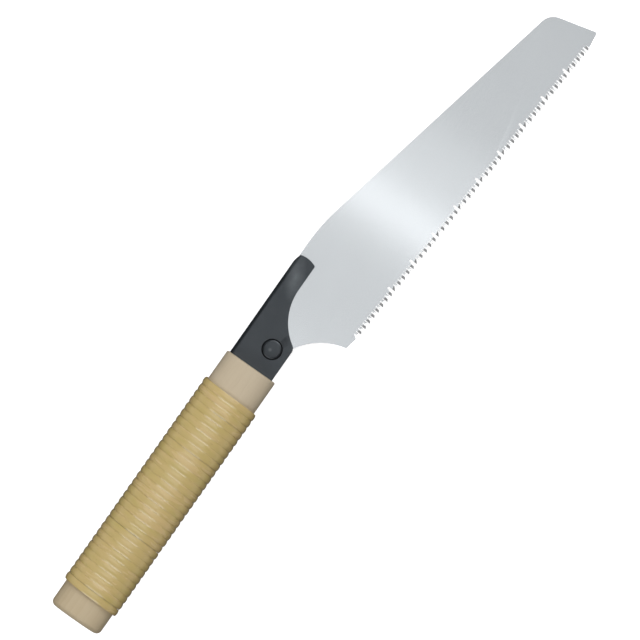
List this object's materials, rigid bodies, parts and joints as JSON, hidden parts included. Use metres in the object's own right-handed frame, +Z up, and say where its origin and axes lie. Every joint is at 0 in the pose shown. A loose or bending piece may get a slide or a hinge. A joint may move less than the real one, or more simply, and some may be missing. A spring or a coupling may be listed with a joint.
{
  "type": "kataba saw",
  "caption": "Single-edged pull saw with a replaceable blade hooked in a folded steel holder and an oval wooden handle bound with rattan.",
  "frame": {"origin": "under the middle of the saw's box, on the plane that the winding lies on", "axes": "+X along the handle to the blade's tip, +Y towards the back of the blade, +Z up, square to the blade"},
  "size_m": [0.4172, 0.0678, 0.0266],
  "materials": {
    "blade_steel": "satin",
    "black_paint": "satin",
    "handle_wood": "bare, sanded",
    "rattan": "glossy split cane",
    "pin_steel": "satin"
  },
  "bodies": {
    "handle": {"blade_holder": "black_paint", "hook_rivet": "black_paint", "handle_half_upper": "handle_wood", "handle_half_lower": "handle_wood", "tang_pin_front": "pin_steel", "tang_pin_rear": "pin_steel", "rattan_strip_front": "rattan", "rattan_strip_rear": "rattan"},
    "blade": {"saw_blade": "blade_steel"}
  },
  "joints": [
    {"name": "blade_swing", "type": "hinge", "parent": "handle", "child": "blade", "pos_m": [-0.02983, 0.01289, 0.01305], "axis": [0, 0, -1], "range_deg": [0, 40]}
  ]
}
